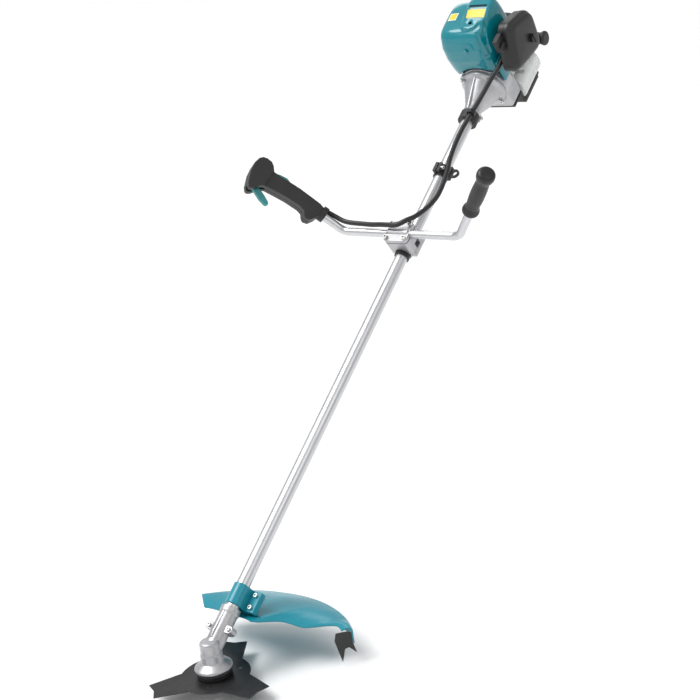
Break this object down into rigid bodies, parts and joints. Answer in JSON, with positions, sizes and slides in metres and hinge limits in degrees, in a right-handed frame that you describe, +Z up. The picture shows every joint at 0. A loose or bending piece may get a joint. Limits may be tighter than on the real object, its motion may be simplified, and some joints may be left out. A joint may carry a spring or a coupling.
{
  "type": "brush cutter",
  "caption": "Petrol brush cutter: straight pipe, bevel-gear head with a toothed blade and guard, U handlebar with throttle grip, and a small four-stroke engine.",
  "frame": {"origin": "centre of the harness hook's eye, on the band round the pipe", "axes": "+Z up along the blade's spindle with the blade level, +Y level, towards the engine, +X to the right with the engine nearest"},
  "size_m": [0.6309, 1.4655, 1.1283],
  "materials": {
    "aluminium_tube": "satin, drawn tube",
    "cast_alloy": "fine cast, blasted",
    "machined_steel": "turned",
    "zinc_screws": "zinc plated",
    "blade_black": "matt black coat on steel",
    "dark_steel": "heat-proof black",
    "cover_teal": "glossy moulding",
    "guard_teal": "semi-gloss moulding",
    "control_teal": "satin moulding",
    "black_plastic": "fine texture",
    "grip_plastic": "fine texture",
    "black_rubber": "matt",
    "tank_plastic": "translucent, natural",
    "rope_white": "braided",
    "ceramic_cap": "moulded cap"
  },
  "bodies": {
    "machine": {"main_pipe": "aluminium_tube", "shaft_bushes": "black_rubber", "gear_case": "cast_alloy", "gear_case_screws": "zinc_screws", "drive_bearings": "machined_steel", "spindle_bearings": "machined_steel", "guard": "guard_teal", "guard_bracket": "dark_steel", "guard_screws": "zinc_screws", "line_knife": "blade_black", "handlebar": "aluminium_tube", "clamp_sleeve": "black_rubber", "clamp_base": "cast_alloy", "clamp_cap": "cast_alloy", "clamp_bolts": "zinc_screws", "hanger_band": "black_plastic", "hanger_bolt": "zinc_screws", "grip_shell_front": "grip_plastic", "grip_shell_rear": "grip_plastic", "grip_screws": "zinc_screws", "grip_collar": "black_rubber", "plain_grip": "black_rubber", "throttle_cable": "black_rubber", "cable_clip": "black_rubber", "clutch_case": "cast_alloy", "clutch_screws": "zinc_screws", "crankcase": "cast_alloy", "cylinder_block": "cast_alloy", "spark_plug": "ceramic_cap", "muffler": "dark_steel", "carburettor": "cast_alloy", "air_cleaner_case": "black_plastic", "air_cleaner_cover": "black_plastic", "engine_cover": "cover_teal", "cover_screws": "zinc_screws", "fuel_tank": "tank_plastic", "tank_stand": "black_plastic", "recoil_housing": "black_plastic"},
    "blade_rotor": {"driven_gear": "machined_steel", "output_spindle": "machined_steel", "receiver_washer": "dark_steel", "blade": "blade_black", "clamp_washer": "machined_steel", "stabiliser_cup": "machined_steel", "blade_nut": "machined_steel"},
    "drive_rotor": {"drive_shaft": "machined_steel", "drive_pinion": "machined_steel", "clutch_drum": "machined_steel"},
    "crank_rotor": {"crankshaft": "machined_steel", "flywheel": "cast_alloy", "clutch_shoes": "machined_steel"},
    "throttle": {"throttle_trigger": "control_teal"},
    "lock_off": {"lock_off_lever": "control_teal"},
    "stop_button": {"stop_switch": "control_teal"},
    "choke": {"choke_lever": "black_plastic"},
    "cleaner_knob": {"air_cleaner_knob": "black_plastic"},
    "tank_cap": {"fuel_cap": "black_plastic"},
    "reel": {"starter_reel": "black_plastic", "starter_rope": "rope_white"},
    "pull_handle": {"starter_handle": "black_plastic"}
  },
  "joints": [
    {"name": "blade_spin", "type": "hinge", "parent": "machine", "child": "blade_rotor", "pos_m": [-0.033, -0.95464, -0.74459], "axis": [0, 0, 1], "continuous": true},
    {"name": "drive_spin", "type": "hinge", "parent": "machine", "child": "drive_rotor", "pos_m": [-0.033, -0.92228, -0.67007], "axis": [0, 0.809, 0.5878], "continuous": true},
    {"name": "crank_spin", "type": "hinge", "parent": "machine", "child": "crank_rotor", "pos_m": [-0.033, 0.22895, 0.16634], "axis": [0, 0.809, 0.5878], "continuous": true},
    {"name": "throttle_pull", "type": "hinge", "parent": "machine", "child": "throttle", "pos_m": [-0.32557, -0.30614, 0.04299], "axis": [0.7826, -0.3659, 0.5036], "range_deg": [0, 18], "stiffness_Nm_per_rad": 0.4, "springref_deg": -17.19},
    {"name": "lock_off_press", "type": "hinge", "parent": "machine", "child": "lock_off", "pos_m": [-0.30449, -0.24667, 0.05344], "axis": [-0.7826, 0.3659, -0.5036], "range_deg": [0, 6], "stiffness_Nm_per_rad": 0.3, "springref_deg": -11.46},
    {"name": "stop_button_slide", "type": "slide", "parent": "machine", "child": "stop_button", "axis": [-0.6201, -0.3877, 0.682], "range_m": [0, 0.004]},
    {"name": "choke_turn", "type": "hinge", "parent": "machine", "child": "choke", "pos_m": [0.063, 0.15547, 0.25387], "axis": [-1, 0, 0], "range_deg": [0, 60]},
    {"name": "cleaner_knob_turn", "type": "hinge", "parent": "machine", "child": "cleaner_knob", "pos_m": [0.087, 0.24267, 0.25294], "axis": [1, 0, 0], "range_deg": [0, 90]},
    {"name": "tank_cap_turn", "type": "hinge", "parent": "machine", "child": "tank_cap", "pos_m": [-0.093, 0.35335, 0.16525], "axis": [-1, 0, 0], "range_deg": [0, 270]},
    {"name": "starter_pull", "type": "slide", "parent": "machine", "child": "pull_handle", "axis": [1, 0, 0], "range_m": [0, 0.7], "stiffness_N_per_m": 8, "springref_m": -0.6},
    {"name": "reel_spin", "type": "hinge", "parent": "machine", "child": "reel", "pos_m": [-0.033, 0.34707, 0.25216], "axis": [0, -0.809, -0.5878], "range_deg": [0, 1673]}
  ],
  "couplings": [
    {"joint": "drive_spin", "follows": "blade_spin", "ratio": 1.3571},
    {"joint": "reel_spin", "follows": "starter_pull", "rad_per_m": 41.667}
  ]
}
